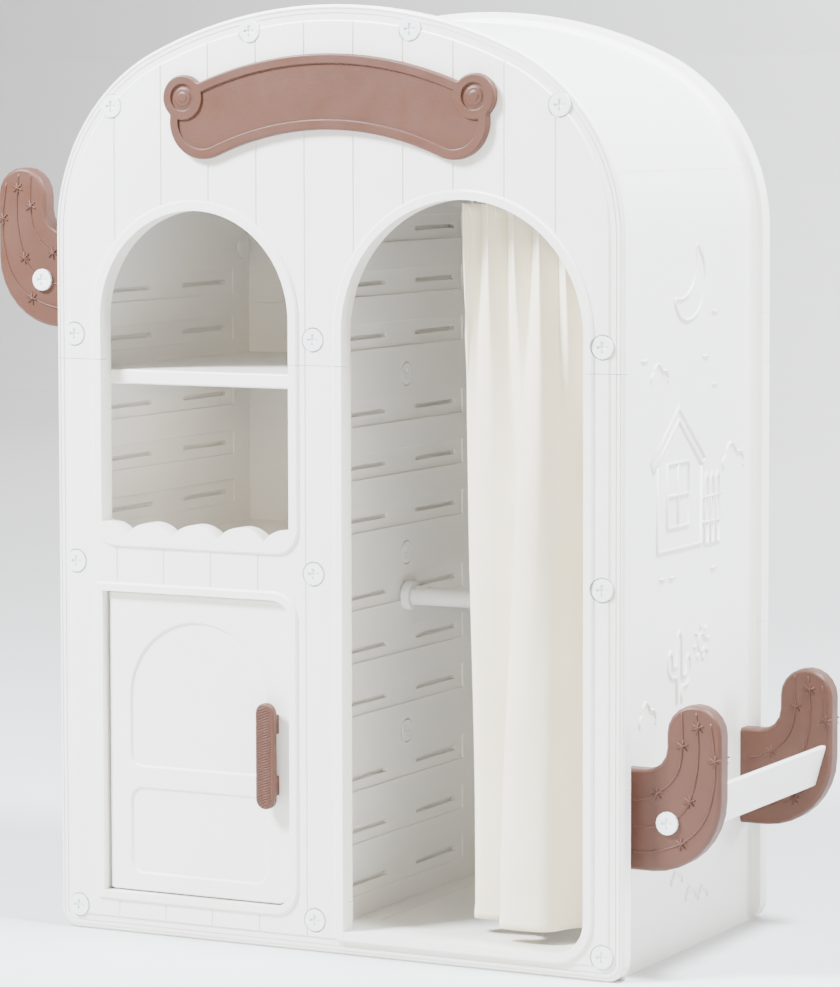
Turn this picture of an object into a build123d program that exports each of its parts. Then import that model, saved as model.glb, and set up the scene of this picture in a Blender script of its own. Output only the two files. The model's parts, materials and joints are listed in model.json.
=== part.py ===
from build123d import *
from math import cos, radians, sin, sqrt
import os

os.makedirs("parts", exist_ok=True)

# Millimetres. X runs to the right, Y from the front to the back, Z up from the floor.
# The origin is the middle of the footprint, on the floor.

# Carcass: an arch of three arcs on straight sides
width = 850.0
depth = 490.0
height = 1260.0
crown_radius = 640.0
shoulder_radius = 268.0
foot_radius = 26.0
front_thickness = 24.0
back_thickness = 28.0
outline_chamfer = 3.0

# Front border: a band with two grooves, then the planked field standing proud of it
border = 20.0
field_rise = 2.5
field_slope = 2.0
groove_insets = (5.5, 11.5)
groove_width = 1.6
groove_depth = 1.2
plank_pitch = 73.2
plank_grooves = 10
plank_groove = 2.4

# Seams between the front panels: half laps, the rear half rising behind the upper panel
front_seam_z = 785.2
front_lap_z = 852.0
seam_gap = 0.6
tab_reach = 79.0
tab_height = 69.0

# Raised rings round the three openings
ring_rise = 4.0
ring_chamfer = 2.4
ring_corner = 6.0

# Window with a scalloped sill
window_centre = -206.5
window_half = 145.5
window_spring = 842.7
window_ring = 14.0
sill_cusp_z = 547.0
sill_crest_z = 565.0
scallop_pitch = 70.7
scallops = 5
window_ring_foot_z = 531.0
window_ring_corner = 35.0

# Tall arched doorway
arch_centre = 194.4
arch_half = 175.6
arch_spring = 830.2
arch_sill_z = 31.4
arch_ring = 13.0
arch_corner = 45.0

# Door opening and door
door_left = -352.0
door_right = -61.5
door_bottom = 57.0
door_top = 470.0
door_ring = 12.0
door_corner = 26.0
door_gap = 2.0
door_recess = 6.0
door_thickness = 17.5
door_chamfer = 1.8
hinge_pin_radius = 4.0
hinge_clearance = 0.05
hinge_pin_reach = 14.0

# Pressed panels of the door
panel_left = -312.0
panel_right = -104.0
panel_spring = 326.0
panel_foot = 232.0
low_panel_top = 200.0
low_panel_foot = 85.0
panel_corner = 16.0
panel_depth = 3.0

# Handle
handle_x = -92.0
handle_low = 190.0
handle_high = 333.0
handle_width = 28.0
handle_bar = 10.0
handle_stand = 14.0
handle_post_width = 20.0
handle_post_height = 26.0
handle_post_inset = 30.0
handle_chamfer = 2.0
handle_screw_radius = 2.5
handle_head_radius = 6.0
handle_head_height = 3.0

# Sign
sign_radius = 467.8
sign_height = 1146.0
sign_lobe_x = 187.0
sign_width = 100.0
sign_thickness = 11.0
sign_rim = 13.0
sign_rim_depth = 3.0
ear_x = 217.0
ear_z = 1139.0
ear_radius = 30.0
ear_rim = 12.0
ear_dome = 13.0
ear_dome_rise = 3.0
ear_dome_step = 2.0
sign_chamfer = 1.8
sign_notch = 5.0

# Screws with round cross-slotted heads
head_radius = 15.0
head_height = 5.0
head_sides = 16
plain_head_sides = 12
shank_sides = 8
cross_length = 15.0
cross_width = 3.6
cross_depth = 2.4
shank_radius = 4.0
shank_length = 44.0
pad_radius = 17.0
pad_depth = 4.0
column_screw_inset = 30.0
post_screw_x = -25.4
lap_screw_z = 819.0
mid_screw_z = 508.0
foot_screw_z = 32.3
post_foot_screw_z = 43.3
arch_screw_inset = 22.0
shoulder_screw_angle = 43.8
crown_screw_angle = 11.15

# Side panels and roof
shell_inset = 16.0
shell_thickness = 25.0
roof_seam_z = 1042.0
shell_fillet = 8.0

# Back: three panels with laps
back_seams = (418.0, 843.0)
back_lap = 67.0

# Divider
divider_right = -12.0
divider_thickness = 25.0

# Shelves and floors
shelf_thickness = 20.0
upper_shelf_z = 761.0
lower_shelf_z = 514.5
cabinet_shelf_z = 267.0
floor_thickness = 31.4
floor_inset_side = 35.0
floor_inset_front = 44.0
floor_inset_corner = 45.0
floor_panel_depth = 1.5
shelf_chamfer = 2.0

# Ribs and slots of the inner faces
rib_pitch = 71.7
rib_offset = 56.0
rib_half_height = 17.0
rib_depth = 2.5
rib_margin = 46.0
slot_length = 120.0
slot_height = 6.0
slot_depth = 9.0
slot_edge = 44.0
rib_floor_z = 21.5
panel_top_rib_z = 809.0
panel_top_rib_pitch = 66.0

# Clothes rod
rod_radius = 12.75
rod_z = 455.0
collar_radius = 20.0
collar_length = 12.0
collar_sides = 24

# Curtain rod, rings and curtain
track_radius = 5.0
track_y = 60.0
track_z = 1018.5
track_seat = 10.0
rings = 6
ring_first_x = 180.0
ring_last_x = 364.0
ring_wall = 3.5
ring_sides = 12
ring_length = 4.0
ring_clearance = 0.06
curtain_top = 1000.0
curtain_foot = 50.0
curtain_clearance = 0.4
curtain_thickness = 6.0

# Cactus-arm brackets with a book tray between each pair
arm_bottom = 142.0
arm_root_top = 274.0
arm_reach = 134.0
arm_top = 361.0
arm_width = 76.0
arm_outer_radius = 97.0
arm_inner_radius = 30.0
arm_thickness = 28.0
arm_front_y = 40.0
arm_back_y = 454.0
arm_chamfer = 3.6
rack_lift = 683.0
tray_screw_x = 470.0
tray_screw_z = 207.0
tray_floor = 12.0
tray_start = 21.0
tray_lip_foot = 111.0
tray_lip_lean = 16.0
tray_lip_height = 57.0
tray_lip_thickness = 10.0
tray_chamfer = 2.2
root_screw_z = 240.0

# Places worked out from the sizes
half_width = width / 2
front_face = -depth / 2
front_back = front_face + front_thickness
front_mid = front_face + front_thickness / 2
band_face = front_face + field_rise
back_face = depth / 2
back_front = back_face - back_thickness
back_mid = back_face - back_thickness / 2
inner_depth = back_front - front_back
shoulder_x = half_width - shoulder_radius
crown_z = height - crown_radius
shoulder_z = crown_z + sqrt((crown_radius - shoulder_radius) ** 2 - shoulder_x**2)
side_outer = half_width - shell_inset
side_inner = side_outer - shell_thickness
divider_left = divider_right - divider_thickness
split_x = arch_centre - arch_half
open_z = (arch_sill_z + arch_spring) / 2
pad_face = front_face + pad_depth
door_face = front_face + door_recess
door_back = door_face + door_thickness
pin_y = (door_face + door_back) / 2
pin_x = door_left + door_gap + door_thickness / 2
column_x = half_width - column_screw_inset
rack_y_front = front_face + arm_front_y
rack_y_back = front_face + arm_back_y
rod_y = 0.0 - (back_thickness - front_thickness) / 2
track_at_y = front_face + track_y
far = 2 * height


def at_y(y):
    """Upright plane at depth y; a positive extrusion runs to the front."""
    return Plane.XZ.offset(-y)


def at_x(x):
    """Plane across the carcass at x; a positive extrusion runs to the right."""
    return Plane.YZ.offset(x)


def arch_line(inset, foot):
    """The carcass outline drawn in by inset, closed along a line at height foot."""
    half = half_width - inset
    shoulder = shoulder_radius - inset
    crown = crown_radius - inset
    ux = shoulder_x / (crown_radius - shoulder_radius)
    uz = (shoulder_z - crown_z) / (crown_radius - shoulder_radius)
    mid = sqrt((1 + ux) ** 2 + uz**2)
    mx = shoulder_x + shoulder * (1 + ux) / mid
    mz = shoulder_z + shoulder * uz / mid
    tx = crown * ux
    tz = crown_z + crown * uz
    with BuildLine() as line:
        Polyline((-half, shoulder_z), (-half, foot), (half, foot), (half, shoulder_z))
        ThreePointArc((half, shoulder_z), (mx, mz), (tx, tz))
        ThreePointArc((tx, tz), (0, crown_z + crown), (-tx, tz))
        ThreePointArc((-tx, tz), (-mx, mz), (-half, shoulder_z))
    return line.line


def portal_line(centre, half, foot, spring):
    """An opening with straight sides and a round head."""
    with BuildLine() as line:
        Polyline(
            (centre - half, spring), (centre - half, foot), (centre + half, foot), (centre + half, spring)
        )
        ThreePointArc((centre + half, spring), (centre, spring + half), (centre - half, spring))
    return line.line


def bow(cx, cz, radius, start, end, steps):
    """Points of an arc between two angles, drawn in even steps."""
    angles = [radians(start + (end - start) * i / steps) for i in range(steps + 1)]
    return [(cx + radius * cos(a), cz + radius * sin(a)) for a in angles]


def foot_corners(sketch):
    return sketch.vertices().group_by(Axis.Y)[0]


# Screw places on the front: the arch, then the laps, the middle and the foot of each column
shoulder_reach = shoulder_radius - arch_screw_inset
crown_reach = crown_radius - arch_screw_inset
shoulder_screw = (
    shoulder_x + shoulder_reach * cos(radians(shoulder_screw_angle)),
    shoulder_z + shoulder_reach * sin(radians(shoulder_screw_angle)),
)
crown_screw = (
    crown_reach * sin(radians(crown_screw_angle)),
    crown_z + crown_reach * cos(radians(crown_screw_angle)),
)
arch_screws = [
    shoulder_screw,
    (-shoulder_screw[0], shoulder_screw[1]),
    crown_screw,
    (-crown_screw[0], crown_screw[1]),
]
column_screws = [(x, z) for x in (-column_x, column_x) for z in (lap_screw_z, mid_screw_z, foot_screw_z)]
post_screws = [(post_screw_x, z) for z in (lap_screw_z, mid_screw_z, post_foot_screw_z)]
screw_places = arch_screws + column_screws + post_screws

scallop_places = [window_centre + scallop_pitch * (i - (scallops - 1) / 2) for i in range(scallops)]
scallop_rise = sill_crest_z - sill_cusp_z
scallop_radius = (scallop_pitch**2 / 4 + scallop_rise**2) / (2 * scallop_rise)
plank_places = [plank_pitch * (i - (plank_grooves - 1) / 2) for i in range(plank_grooves)]


# The whole front, before it is parted into its three panels
with BuildPart() as front_blank:
    with BuildSketch(at_y(front_back)) as outline:
        add(arch_line(0, 0))
        make_face()
        fillet(foot_corners(outline), foot_radius)
    extrude(amount=front_thickness - field_rise)
    chamfer(front_blank.faces().sort_by(Axis.Y)[0].edges(), outline_chamfer)
    with BuildSketch(at_y(band_face)) as field:
        add(arch_line(border, border))
        make_face()
        fillet(foot_corners(field), foot_radius - border)
    extrude(amount=field_rise)
    chamfer(front_blank.faces().sort_by(Axis.Y)[0].edges(), field_slope)
    with BuildSketch(Plane.XY):
        with Locations([(x, front_face) for x in plank_places]):
            Rectangle(plank_groove, plank_groove, rotation=45)
    extrude(amount=height, mode=Mode.SUBTRACT)
    for inset in groove_insets:
        with BuildSketch(at_y(band_face)) as groove:
            add(arch_line(inset - groove_width / 2, inset - groove_width / 2))
            make_face()
            fillet(foot_corners(groove), foot_radius - inset + groove_width / 2)
            with BuildSketch(mode=Mode.PRIVATE) as core:
                add(arch_line(inset + groove_width / 2, inset + groove_width / 2))
                make_face()
                fillet(foot_corners(core), foot_radius - inset - groove_width / 2)
            add(core.sketch, mode=Mode.SUBTRACT)
        extrude(amount=-groove_depth, mode=Mode.SUBTRACT)
    # Rings
    with BuildSketch(at_y(band_face)):
        with BuildSketch(mode=Mode.PRIVATE) as window_band:
            add(portal_line(window_centre, window_half + window_ring, window_ring_foot_z, window_spring))
            make_face()
            fillet(foot_corners(window_band), window_ring_corner)
        add(window_band.sketch)
        with BuildSketch(mode=Mode.PRIVATE) as arch_band:
            add(portal_line(arch_centre, arch_half + arch_ring, arch_sill_z - arch_ring, arch_spring))
            make_face()
            fillet(foot_corners(arch_band).sort_by(Axis.X)[-1], arch_corner + arch_ring)
            fillet(foot_corners(arch_band).sort_by(Axis.X)[0], ring_corner)
        add(arch_band.sketch)
        with BuildSketch(mode=Mode.PRIVATE) as door_band:
            with Locations(((door_left + door_right) / 2, (door_bottom + door_top) / 2)):
                Rectangle(door_right - door_left + 2 * door_ring, door_top - door_bottom + 2 * door_ring)
            fillet(door_band.vertices().group_by(Axis.X)[-1], door_corner + door_ring)
            fillet(door_band.vertices().group_by(Axis.X)[0], ring_corner)
        add(door_band.sketch)
    extrude(amount=field_rise + ring_rise)
    chamfer(front_blank.faces().filter_by(Axis.Y).group_by(Axis.Y)[0].edges(), ring_chamfer)
    # Openings
    with BuildSketch(at_y(front_back)):
        with BuildSketch(mode=Mode.PRIVATE) as window_hole:
            add(portal_line(window_centre, window_half, sill_cusp_z, window_spring))
            make_face()
            with Locations([(x, sill_crest_z - scallop_radius) for x in scallop_places]):
                Circle(scallop_radius, mode=Mode.SUBTRACT)
        add(window_hole.sketch)
        with BuildSketch(mode=Mode.PRIVATE) as arch_hole:
            add(portal_line(arch_centre, arch_half, arch_sill_z, arch_spring))
            make_face()
            fillet(foot_corners(arch_hole).sort_by(Axis.X)[-1], arch_corner)
        add(arch_hole.sketch)
        with BuildSketch(mode=Mode.PRIVATE) as door_hole:
            with Locations(((door_left + door_right) / 2, (door_bottom + door_top) / 2)):
                Rectangle(door_right - door_left, door_top - door_bottom)
            fillet(door_hole.vertices().group_by(Axis.X)[-1], door_corner)
        add(door_hole.sketch)
    extrude(amount=2 * front_thickness, mode=Mode.SUBTRACT)
    # Screw pads and holes, and the bores that hold the hinge pins
    with BuildSketch(at_y(pad_face)):
        with Locations(screw_places):
            RegularPolygon(pad_radius, head_sides)
    extrude(amount=front_thickness, mode=Mode.SUBTRACT)
    with BuildSketch(at_y(front_back)):
        with Locations(screw_places):
            RegularPolygon(shank_radius, shank_sides)
    extrude(amount=2 * front_thickness, mode=Mode.SUBTRACT)
    with BuildSketch(Plane.XY.offset(door_bottom - hinge_pin_reach)):
        with Locations((pin_x, pin_y)):
            Circle(hinge_pin_radius)
    extrude(amount=door_top - door_bottom + 2 * hinge_pin_reach, mode=Mode.SUBTRACT)

# Where the front is parted
with BuildPart() as above_lap:
    with BuildSketch(at_x(-width)):
        with BuildLine():
            Polyline(
                (front_face - depth, front_seam_z + seam_gap / 2),
                (front_mid, front_seam_z + seam_gap / 2),
                (front_mid, front_lap_z),
                (0, front_lap_z),
                (0, far),
                (front_face - depth, far),
                close=True,
            )
        make_face()
    extrude(amount=2 * width)

with BuildPart() as below_lap:
    with BuildSketch(at_x(-width)):
        with BuildLine():
            Polyline(
                (front_face - depth, front_seam_z - seam_gap / 2),
                (front_mid, front_seam_z - seam_gap / 2),
                (front_mid, front_lap_z),
                (0, front_lap_z),
                (0, -depth),
                (front_face - depth, -depth),
                close=True,
            )
        make_face()
    extrude(amount=2 * width)

with BuildPart() as right_of_split:
    with BuildSketch(at_y(front_mid)):
        with BuildLine():
            Polyline(
                (split_x + seam_gap / 2, -depth),
                (width, -depth),
                (width, far),
                (arch_centre, far),
                (arch_centre, open_z),
                (split_x + seam_gap / 2, open_z),
                close=True,
            )
        make_face()
    extrude(amount=depth)
    with BuildSketch(at_y(front_mid)):
        with BuildLine():
            Polyline(
                (split_x - tab_reach, -depth),
                (width, -depth),
                (width, far),
                (arch_centre, far),
                (arch_centre, open_z),
                (split_x + seam_gap / 2, open_z),
                (split_x + seam_gap / 2, tab_height),
                (split_x - tab_reach, tab_height),
                close=True,
            )
        make_face()
    extrude(amount=-depth)

with BuildPart() as left_of_split:
    with BuildSketch(at_y(front_mid)):
        with BuildLine():
            Polyline(
                (split_x, -depth),
                (-width, -depth),
                (-width, far),
                (arch_centre, far),
                (arch_centre, open_z),
                (split_x, open_z),
                close=True,
            )
        make_face()
    extrude(amount=depth)
    with BuildSketch(at_y(front_mid)):
        with BuildLine():
            Polyline(
                (split_x - tab_reach - seam_gap, -depth),
                (-width, -depth),
                (-width, far),
                (arch_centre, far),
                (arch_centre, open_z),
                (split_x, open_z),
                (split_x, tab_height + seam_gap),
                (split_x - tab_reach - seam_gap, tab_height + seam_gap),
                close=True,
            )
        make_face()
    extrude(amount=-depth)

with BuildPart() as front_upper:
    add(front_blank.part)
    add(above_lap.part, mode=Mode.INTERSECT)

with BuildPart() as front_lower_left:
    add(front_blank.part)
    add(below_lap.part, mode=Mode.INTERSECT)
    add(left_of_split.part, mode=Mode.INTERSECT)

with BuildPart() as front_lower_right:
    add(front_blank.part)
    add(below_lap.part, mode=Mode.INTERSECT)
    add(right_of_split.part, mode=Mode.INTERSECT)


# Back, parted the same way, its laps dropping outside
with BuildPart() as back_blank:
    with BuildSketch(at_y(back_face)) as outline:
        add(arch_line(0, 0))
        make_face()
        fillet(foot_corners(outline), foot_radius)
    extrude(amount=back_thickness)
    chamfer(back_blank.faces().sort_by(Axis.Y)[-1].edges(), outline_chamfer)
    with BuildSketch(at_y(back_face)):
        with Locations(screw_places):
            RegularPolygon(shank_radius, shank_sides)
    extrude(amount=back_thickness, mode=Mode.SUBTRACT)


def back_slice(low, high):
    """The space between two lap seams of the back; None means no seam."""
    bottom_in = -depth if low is None else low
    bottom_out = -2 * depth if low is None else low - back_lap + seam_gap / 2
    top_in = far if high is None else high
    top_out = 2 * far if high is None else high - back_lap - seam_gap / 2
    with BuildPart() as space:
        with BuildSketch(at_x(-width)):
            with BuildLine():
                Polyline(
                    (0, bottom_in),
                    (back_mid, bottom_in),
                    (back_mid, bottom_out),
                    (depth, bottom_out),
                    (depth, top_out),
                    (back_mid, top_out),
                    (back_mid, top_in),
                    (0, top_in),
                    close=True,
                )
            make_face()
        extrude(amount=2 * width)
    return space.part


with BuildPart() as back_lower:
    add(back_blank.part)
    add(back_slice(None, back_seams[0]), mode=Mode.INTERSECT)

with BuildPart() as back_middle:
    add(back_blank.part)
    add(back_slice(back_seams[0], back_seams[1]), mode=Mode.INTERSECT)

with BuildPart() as back_upper:
    add(back_blank.part)
    add(back_slice(back_seams[1], None), mode=Mode.INTERSECT)


# Ribs and slots: rows above each shelf, in a plate whose inner face is the plane given
def rib_rows(bases, count, offset, pitch):
    return [base + offset + pitch * i for base in bases for i in range(count)]


shelf_bases = (rib_floor_z, cabinet_shelf_z, lower_shelf_z)
low_rows = rib_rows(shelf_bases, 3, rib_offset, rib_pitch)
divider_rows = low_rows + rib_rows((upper_shelf_z,), 3, rib_offset, rib_pitch)
panel_rows = low_rows + rib_rows((panel_top_rib_z,), 2, 0, panel_top_rib_pitch)
rib_length = inner_depth - 2 * rib_margin
slot_front_y = front_back + slot_edge + slot_length / 2
slot_rear_y = back_front - slot_edge - rib_margin / 2 - slot_length / 2


def rib_cut(plane, rows, inward):
    """Shallow ribs with two slots in each, cut along inward from plane."""
    with BuildPart() as cut:
        with BuildSketch(plane):
            with Locations([((front_back + back_front) / 2, z) for z in rows]):
                Rectangle(rib_length, 2 * rib_half_height)
        extrude(amount=inward * rib_depth)
        with BuildSketch(plane):
            with Locations([(y, z) for z in rows for y in (slot_front_y, slot_rear_y)]):
                Rectangle(slot_length, slot_height)
        extrude(amount=inward * slot_depth)
    return cut.part


# The shell: one band under the arch, parted into two side panels and a roof
with BuildPart() as shell_blank:
    with BuildSketch(at_y(back_front)):
        add(arch_line(shell_inset, 0))
        make_face()
    extrude(amount=inner_depth)
    # Coved edges where the shell meets the front and the back
    for start, way in ((front_back, 1), (back_front, -1)):
        with BuildSketch(at_y(start)):
            add(arch_line(shell_inset - shell_fillet, 0))
            make_face()
        with BuildSketch(at_y(start + way * shell_fillet * 0.35)):
            add(arch_line(shell_inset - shell_fillet * 0.35, 0))
            make_face()
        with BuildSketch(at_y(start + way * shell_fillet)):
            add(arch_line(shell_inset, 0))
            make_face()
        loft(ruled=True)
    with BuildSketch(at_y(back_front)):
        add(arch_line(shell_inset + shell_thickness, -1))
        make_face()
    extrude(amount=inner_depth, mode=Mode.SUBTRACT)
    with BuildSketch(at_y(front_face)):
        with Locations(screw_places):
            RegularPolygon(shank_radius, shank_sides)
    extrude(amount=-shank_length - pad_depth, mode=Mode.SUBTRACT)
    with BuildSketch(at_y(back_face)):
        with Locations(screw_places):
            RegularPolygon(shank_radius, shank_sides)
    extrude(amount=shank_length, mode=Mode.SUBTRACT)

with BuildPart() as roof:
    add(shell_blank.part)
    with BuildSketch(Plane.XY.offset(roof_seam_z)):
        Rectangle(2 * width, 2 * depth)
    extrude(amount=far, mode=Mode.INTERSECT)

root_screw_places = [rack_y_front + arm_thickness / 2, rack_y_back - arm_thickness / 2]

with BuildPart() as side_right:
    add(shell_blank.part)
    with BuildSketch(Plane.XY):
        with Locations((width / 2, 0)):
            Rectangle(width, 2 * depth)
    extrude(amount=roof_seam_z, mode=Mode.INTERSECT)
    add(rib_cut(at_x(side_inner), panel_rows, 1), mode=Mode.SUBTRACT)
    with BuildSketch(at_x(0)):
        with Locations([(y, root_screw_z) for y in root_screw_places]):
            RegularPolygon(shank_radius, shank_sides)
    extrude(amount=width, mode=Mode.SUBTRACT)
    with BuildSketch(at_x(0)):
        with Locations((track_at_y, track_z)):
            Circle(track_radius)
    track_end = shoulder_x + sqrt(
        (shoulder_radius - shell_inset - shell_thickness) ** 2 - (track_z - shoulder_z) ** 2
    )
    extrude(amount=track_end + track_seat, mode=Mode.SUBTRACT)

with BuildPart() as side_left:
    add(shell_blank.part)
    with BuildSketch(Plane.XY):
        with Locations((-width / 2, 0)):
            Rectangle(width, 2 * depth)
    extrude(amount=roof_seam_z, mode=Mode.INTERSECT)
    add(rib_cut(at_x(-side_inner), panel_rows, -1), mode=Mode.SUBTRACT)
    with BuildSketch(at_x(0)):
        with Locations([(y, root_screw_z + rack_lift) for y in root_screw_places]):
            RegularPolygon(shank_radius, shank_sides)
        with Locations([(rod_y, z) for z in (cabinet_shelf_z, lower_shelf_z, upper_shelf_z)]):
            RegularPolygon(shank_radius, shank_sides)
    extrude(amount=-width, mode=Mode.SUBTRACT)
    with BuildSketch(at_x(-side_outer + pad_depth)):
        with Locations([(rod_y, z) for z in (cabinet_shelf_z, lower_shelf_z, upper_shelf_z)]):
            RegularPolygon(pad_radius, plain_head_sides)
    extrude(amount=-shell_thickness, mode=Mode.SUBTRACT)


# Divider
divider_top = crown_z + sqrt((crown_radius - shell_inset - shell_thickness) ** 2 - divider_left**2)
with BuildPart() as divider:
    with BuildSketch(at_x(divider_left)):
        with Locations(((front_back + back_front) / 2, divider_top / 2)):
            Rectangle(inner_depth, divider_top)
    extrude(amount=divider_thickness)
    add(rib_cut(at_x(divider_right), divider_rows, -1), mode=Mode.SUBTRACT)
    add(rib_cut(at_x(divider_left), divider_rows, 1), mode=Mode.SUBTRACT)
    with BuildSketch(at_y(front_face)):
        with Locations(post_screws):
            RegularPolygon(shank_radius, shank_sides)
    extrude(amount=-shank_length - pad_depth, mode=Mode.SUBTRACT)
    with BuildSketch(at_y(back_face)):
        with Locations(post_screws):
            RegularPolygon(shank_radius, shank_sides)
    extrude(amount=shank_length, mode=Mode.SUBTRACT)
    with BuildSketch(at_x(divider_left)):
        with Locations([(rod_y, z) for z in (cabinet_shelf_z, lower_shelf_z, upper_shelf_z)]):
            RegularPolygon(shank_radius, shank_sides)
    extrude(amount=divider_thickness, mode=Mode.SUBTRACT)
    with BuildSketch(at_x(divider_right - pad_depth)):
        with Locations([(rod_y, z) for z in (cabinet_shelf_z, lower_shelf_z, upper_shelf_z)]):
            RegularPolygon(pad_radius, head_sides)
    extrude(amount=divider_thickness, mode=Mode.SUBTRACT)
    with BuildSketch(at_x(divider_right - track_seat)):
        with Locations((track_at_y, track_z)):
            Circle(track_radius)
    extrude(amount=divider_thickness, mode=Mode.SUBTRACT)


# Shelves between the left side panel and the divider
def shelf(middle, thickness):
    with BuildPart() as plate:
        with BuildSketch(Plane.XY.offset(middle - thickness / 2)):
            with Locations(((divider_left - side_inner) / 2, (front_back + back_front) / 2)):
                Rectangle(divider_left + side_inner, inner_depth)
        extrude(amount=thickness)
        front_edges = plate.edges().filter_by(Axis.X).group_by(Axis.Y)[0]
        chamfer(front_edges, shelf_chamfer)
        for start, way in ((-side_inner, 1), (divider_left, -1)):
            with BuildSketch(at_x(start)):
                with Locations((rod_y, middle)):
                    RegularPolygon(shank_radius, shank_sides)
            extrude(amount=way * shank_length, mode=Mode.SUBTRACT)
    return plate.part


with BuildPart() as upper_shelf:
    add(shelf(upper_shelf_z, shelf_thickness))
with BuildPart() as lower_shelf:
    add(shelf(lower_shelf_z, shelf_thickness))
with BuildPart() as cabinet_shelf:
    add(shelf(cabinet_shelf_z, shelf_thickness))


def floor_plate(left, right):
    with BuildPart() as plate:
        with BuildSketch(Plane.XY):
            with Locations(((left + right) / 2, (front_back + back_front) / 2)):
                Rectangle(right - left, inner_depth)
        extrude(amount=floor_thickness)
        with BuildSketch(Plane.XY.offset(floor_thickness)) as pressed:
            with Locations(((left + right) / 2, (front_back + back_front) / 2)):
                Rectangle(right - left - 2 * floor_inset_side, inner_depth - 2 * floor_inset_front)
            fillet(pressed.vertices(), floor_inset_corner)
        extrude(amount=-floor_panel_depth, mode=Mode.SUBTRACT)
    return plate.part


with BuildPart() as floor_left:
    add(floor_plate(-side_inner, divider_left))
with BuildPart() as floor_right:
    add(floor_plate(divider_right, side_inner))


# Door, with a round hinge edge, pressed panels and bores for the pins
door_z0 = door_bottom + door_gap
door_z1 = door_top - door_gap
post_z = [handle_low + handle_post_inset, handle_high - handle_post_inset]
with BuildPart() as door:
    with BuildSketch(Plane.XY.offset(door_z0)):
        with Locations(((pin_x + door_right - door_gap) / 2, pin_y)):
            Rectangle(door_right - door_gap - pin_x, door_thickness)
        with Locations((pin_x, pin_y)):
            Circle(door_thickness / 2)
    extrude(amount=door_z1 - door_z0)
    fillet(door.edges().filter_by(Axis.Y).group_by(Axis.X)[-1], door_corner - door_gap)
    face_edges = door.faces().filter_by(Axis.Y).sort_by(Axis.Y)[0].edges()
    chamfer(face_edges.sort_by(Axis.X)[1:], door_chamfer)
    with BuildSketch(at_y(door_face)) as pressed:
        panel_half = (panel_right - panel_left) / 2
        panel_middle = (panel_right + panel_left) / 2
        add(portal_line(panel_middle, panel_half, panel_foot, panel_spring))
        make_face()
        fillet(foot_corners(pressed), panel_corner)
        with BuildSketch(mode=Mode.PRIVATE) as low_panel:
            with Locations((panel_middle, (low_panel_top + low_panel_foot) / 2)):
                Rectangle(2 * panel_half, low_panel_top - low_panel_foot)
            fillet(low_panel.vertices(), panel_corner)
        add(low_panel.sketch)
    extrude(amount=-panel_depth, mode=Mode.SUBTRACT)
    chamfer(
        door.faces().filter_by(Axis.Y).sort_by(Axis.Y)[0].inner_wires().edges(), panel_depth - 0.4
    )
    with BuildSketch(Plane.XY.offset(door_z0)):
        with Locations((pin_x, pin_y)):
            Circle(hinge_pin_radius + hinge_clearance)
    extrude(amount=hinge_pin_reach, mode=Mode.SUBTRACT)
    with BuildSketch(Plane.XY.offset(door_z1)):
        with Locations((pin_x, pin_y)):
            Circle(hinge_pin_radius + hinge_clearance)
    extrude(amount=-hinge_pin_reach, mode=Mode.SUBTRACT)
    with BuildSketch(at_y(door_back)):
        with Locations([(handle_x, z) for z in post_z]):
            RegularPolygon(handle_screw_radius, shank_sides)
    extrude(amount=door_thickness, mode=Mode.SUBTRACT)
    with BuildSketch(at_y(door_back)):
        with Locations([(handle_x, z) for z in post_z]):
            RegularPolygon(handle_head_radius, plain_head_sides)
    extrude(amount=handle_head_height, mode=Mode.SUBTRACT)

with BuildPart() as hinge_pins:
    pin_length = 2 * hinge_pin_reach
    with BuildSketch(Plane.XY.offset(door_bottom - hinge_pin_reach)):
        with Locations((pin_x, pin_y)):
            Circle(hinge_pin_radius)
    extrude(amount=pin_length)
    with BuildSketch(Plane.XY.offset(door_top + hinge_pin_reach)):
        with Locations((pin_x, pin_y)):
            Circle(hinge_pin_radius)
    extrude(amount=-pin_length)

with BuildPart() as door_handle:
    handle_length = handle_high - handle_low
    with BuildSketch(at_y(door_face - handle_stand)):
        with Locations((handle_x, (handle_low + handle_high) / 2)):
            SlotOverall(handle_length, handle_width, rotation=90)
    extrude(amount=handle_bar)
    chamfer(door_handle.faces().sort_by(Axis.Y)[0].edges(), handle_chamfer)
    with BuildSketch(at_y(door_face)):
        with Locations([(handle_x, z) for z in post_z]):
            Rectangle(handle_post_width, handle_post_height)
    extrude(amount=handle_stand)
    with BuildSketch(at_y(door_face)):
        with Locations([(handle_x, z) for z in post_z]):
            RegularPolygon(handle_screw_radius, shank_sides)
    extrude(amount=handle_stand, mode=Mode.SUBTRACT)

with BuildPart() as handle_screws:
    with BuildSketch(at_y(door_back)):
        with Locations([(handle_x, z) for z in post_z]):
            RegularPolygon(handle_head_radius, plain_head_sides)
    extrude(amount=handle_head_height)
    with BuildSketch(at_y(door_back)):
        with Locations([(handle_x, z) for z in post_z]):
            RegularPolygon(handle_screw_radius, shank_sides)
    extrude(amount=door_thickness + handle_stand)


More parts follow.
